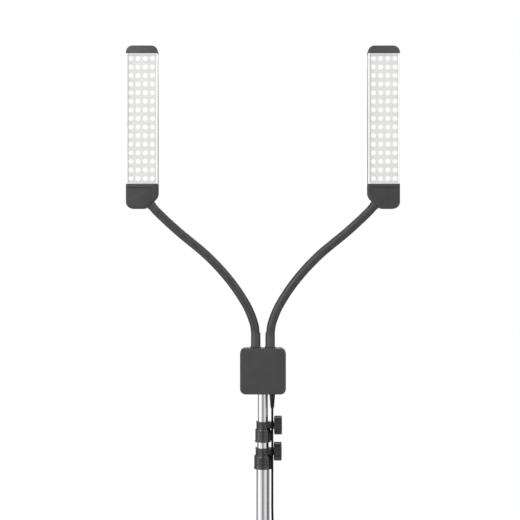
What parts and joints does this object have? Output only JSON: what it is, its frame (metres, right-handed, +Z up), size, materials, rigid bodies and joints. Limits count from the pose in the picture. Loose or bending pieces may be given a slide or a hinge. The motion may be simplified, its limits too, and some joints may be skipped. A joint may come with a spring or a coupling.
{
  "type": "led panel light",
  "caption": "Twin-head LED panel light: two upright panels on goosenecks, a power hub and a telescopic tripod stand.",
  "frame": {"origin": "on the floor, under the centre of the light's box", "axes": "+Z up, the lights face -Y, +X to the viewer's right"},
  "size_m": [0.7584, 0.6597, 1.5674],
  "materials": {
    "chrome_tube": "satin chrome",
    "leg_aluminium": "satin anodised",
    "steel": "machined",
    "ferrule_metal": "satin black",
    "collar_plastic": "moulded, fine texture",
    "knob_plastic": "moulded, satin",
    "hub_plastic": "moulded, fine texture",
    "cap_plastic": "moulded, fine texture",
    "panel_housing": "anodised extrusion",
    "panel_bezel": "white, satin",
    "panel_lens": "clear sheet",
    "circuit_board": "white solder mask",
    "neck_sleeve": "ribbed sleeve",
    "black_rubber": "matt"
  },
  "bodies": {
    "base": {"lower_tube": "chrome_tube", "lower_collar": "collar_plastic", "bottom_collar": "collar_plastic", "cord": "black_rubber", "cord_tail": "black_rubber", "cord_coil": "black_rubber", "wall_adapter": "hub_plastic"},
    "middle_section": {"middle_tube": "chrome_tube", "upper_collar": "collar_plastic"},
    "top_section": {"top_tube": "chrome_tube"},
    "hub": {"hub_front_shell": "hub_plastic", "hub_rear_cover": "hub_plastic", "stand_socket": "steel", "driver_board": "circuit_board", "strain_relief": "black_rubber", "left_neck_ferrule": "ferrule_metal", "right_neck_ferrule": "ferrule_metal", "left_neck_1": "neck_sleeve", "right_neck_1": "neck_sleeve"},
    "left_arm_1": {"left_neck_2": "neck_sleeve"},
    "left_arm_2": {"left_neck_3": "neck_sleeve"},
    "left_arm_3": {"left_neck_4": "neck_sleeve"},
    "left_head": {"left_neck_5": "neck_sleeve", "left_neck_tip": "ferrule_metal", "left_panel_housing": "panel_housing", "left_panel_bezel": "panel_bezel", "left_panel_lens": "panel_lens", "left_led_board": "circuit_board", "left_top_cap": "cap_plastic", "left_bottom_cap": "cap_plastic"},
    "right_arm_1": {"right_neck_2": "neck_sleeve"},
    "right_arm_2": {"right_neck_3": "neck_sleeve"},
    "right_arm_3": {"right_neck_4": "neck_sleeve"},
    "right_head": {"right_neck_5": "neck_sleeve", "right_neck_tip": "ferrule_metal", "right_panel_housing": "panel_housing", "right_panel_bezel": "panel_bezel", "right_panel_lens": "panel_lens", "right_led_board": "circuit_board", "right_top_cap": "cap_plastic", "right_bottom_cap": "cap_plastic"},
    "lower_knob": {"lower_knob": "knob_plastic"},
    "upper_knob": {"upper_knob": "knob_plastic"},
    "lock_knob": {"lock_knob": "knob_plastic"},
    "left_dimmer": {"left_dimmer_knob": "knob_plastic"},
    "right_dimmer": {"right_dimmer_knob": "knob_plastic"},
    "power_button": {"power_button": "knob_plastic"},
    "leg_slider": {"leg_collar": "collar_plastic"},
    "leg_knob": {"leg_knob": "knob_plastic"},
    "leg_1": {"leg_1": "leg_aluminium", "foot_1": "black_rubber"},
    "leg_2": {"leg_2": "leg_aluminium", "foot_2": "black_rubber"},
    "leg_3": {"leg_3": "leg_aluminium", "foot_3": "black_rubber"},
    "brace_1": {"brace_1": "leg_aluminium"},
    "brace_2": {"brace_2": "leg_aluminium"},
    "brace_3": {"brace_3": "leg_aluminium"}
  },
  "joints": [
    {"name": "middle_slide", "type": "slide", "parent": "base", "child": "middle_section", "axis": [0, 0, 1], "range_m": [0, 0.42]},
    {"name": "top_slide", "type": "slide", "parent": "middle_section", "child": "top_section", "axis": [0, 0, 1], "range_m": [0, 0.42]},
    {"name": "hub_pan", "type": "hinge", "parent": "top_section", "child": "hub", "pos_m": [0, 0.10631, 0.8207], "axis": [0, 0, 1], "range_deg": [-45, 45]},
    {"name": "left_neck_lower_sway", "type": "hinge", "parent": "hub", "child": "left_arm_1", "pos_m": [-0.02163, 0.10631, 0.97877], "axis": [0, 1, 0], "range_deg": [-35, 35]},
    {"name": "left_neck_lower_nod", "type": "hinge", "parent": "left_arm_1", "child": "left_arm_2", "pos_m": [-0.06545, 0.10631, 1.05692], "axis": [1, 0, 0], "range_deg": [-40, 40]},
    {"name": "left_neck_upper_sway", "type": "hinge", "parent": "left_arm_2", "child": "left_arm_3", "pos_m": [-0.13375, 0.10631, 1.1297], "axis": [0, 1, 0], "range_deg": [-40, 40]},
    {"name": "left_neck_upper_nod", "type": "hinge", "parent": "left_arm_3", "child": "left_head", "pos_m": [-0.20608, 0.10631, 1.19125], "axis": [1, 0, 0], "range_deg": [-40, 40]},
    {"name": "right_neck_lower_sway", "type": "hinge", "parent": "hub", "child": "right_arm_1", "pos_m": [0.02163, 0.10631, 0.97877], "axis": [0, 1, 0], "range_deg": [-35, 35]},
    {"name": "right_neck_lower_nod", "type": "hinge", "parent": "right_arm_1", "child": "right_arm_2", "pos_m": [0.06545, 0.10631, 1.05692], "axis": [1, 0, 0], "range_deg": [-40, 40]},
    {"name": "right_neck_upper_sway", "type": "hinge", "parent": "right_arm_2", "child": "right_arm_3", "pos_m": [0.13375, 0.10631, 1.1297], "axis": [0, 1, 0], "range_deg": [-40, 40]},
    {"name": "right_neck_upper_nod", "type": "hinge", "parent": "right_arm_3", "child": "right_head", "pos_m": [0.20608, 0.10631, 1.19125], "axis": [1, 0, 0], "range_deg": [-40, 40]},
    {"name": "lower_knob_turn", "type": "hinge", "parent": "base", "child": "lower_knob", "pos_m": [0.03, 0.10631, 0.697], "axis": [1, 0, 0], "range_deg": [0, 360]},
    {"name": "upper_knob_turn", "type": "hinge", "parent": "middle_section", "child": "upper_knob", "pos_m": [0.03, 0.10631, 0.7532], "axis": [1, 0, 0], "range_deg": [0, 360]},
    {"name": "lock_knob_turn", "type": "hinge", "parent": "hub", "child": "lock_knob", "pos_m": [0, 0.13, 0.846], "axis": [0, 1, 0], "range_deg": [0, 360]},
    {"name": "left_dimmer_turn", "type": "hinge", "parent": "hub", "child": "left_dimmer", "pos_m": [-0.029, 0.13, 0.893], "axis": [0, 1, 0], "range_deg": [0, 270]},
    {"name": "right_dimmer_turn", "type": "hinge", "parent": "hub", "child": "right_dimmer", "pos_m": [0.029, 0.13, 0.893], "axis": [0, 1, 0], "range_deg": [0, 270]},
    {"name": "power_button_press", "type": "slide", "parent": "hub", "child": "power_button", "axis": [0, -1, 0], "range_m": [0, 0.0015], "stiffness_N_per_m": 400, "springref_m": -0.001},
    {"name": "leg_slide", "type": "slide", "parent": "base", "child": "leg_slider", "axis": [0, 0, 1], "range_m": [0, 0.1865]},
    {"name": "leg_knob_turn", "type": "hinge", "parent": "leg_slider", "child": "leg_knob", "pos_m": [0, 0.13, 0.28597], "axis": [0, 1, 0], "range_deg": [0, 360]},
    {"name": "leg_1_fold", "type": "hinge", "parent": "leg_slider", "child": "leg_1", "pos_m": [0, 0.07631, 0.25397], "axis": [1, 0, 0], "range_deg": [0, 53.1]},
    {"name": "leg_2_fold", "type": "hinge", "parent": "leg_slider", "child": "leg_2", "pos_m": [0.02598, 0.12131, 0.25397], "axis": [-0.5, 0.866, 0], "range_deg": [0, 53.1]},
    {"name": "leg_3_fold", "type": "hinge", "parent": "leg_slider", "child": "leg_3", "pos_m": [-0.02598, 0.12131, 0.25397], "axis": [-0.5, -0.866, 0], "range_deg": [0, 53.1]},
    {"name": "brace_1_fold", "type": "hinge", "parent": "leg_1", "child": "brace_1", "pos_m": [0, -0.0933, 0.14798], "axis": [1, 0, 0], "range_deg": [-106.2, 0]},
    {"name": "brace_2_fold", "type": "hinge", "parent": "leg_2", "child": "brace_2", "pos_m": [0.17287, 0.20611, 0.14798], "axis": [-0.5, 0.866, 0], "range_deg": [-106.2, 0]},
    {"name": "brace_3_fold", "type": "hinge", "parent": "leg_3", "child": "brace_3", "pos_m": [-0.17287, 0.20611, 0.14798], "axis": [-0.5, -0.866, 0], "range_deg": [-106.2, 0]}
  ],
  "couplings": [
    {"joint": "leg_1_fold", "follows": "leg_slide", "rad_per_m": 4.96},
    {"joint": "leg_2_fold", "follows": "leg_slide", "rad_per_m": 4.96},
    {"joint": "leg_3_fold", "follows": "leg_slide", "rad_per_m": 4.96},
    {"joint": "brace_1_fold", "follows": "leg_slide", "rad_per_m": -9.92},
    {"joint": "brace_2_fold", "follows": "leg_slide", "rad_per_m": -9.92},
    {"joint": "brace_3_fold", "follows": "leg_slide", "rad_per_m": -9.92}
  ]
}
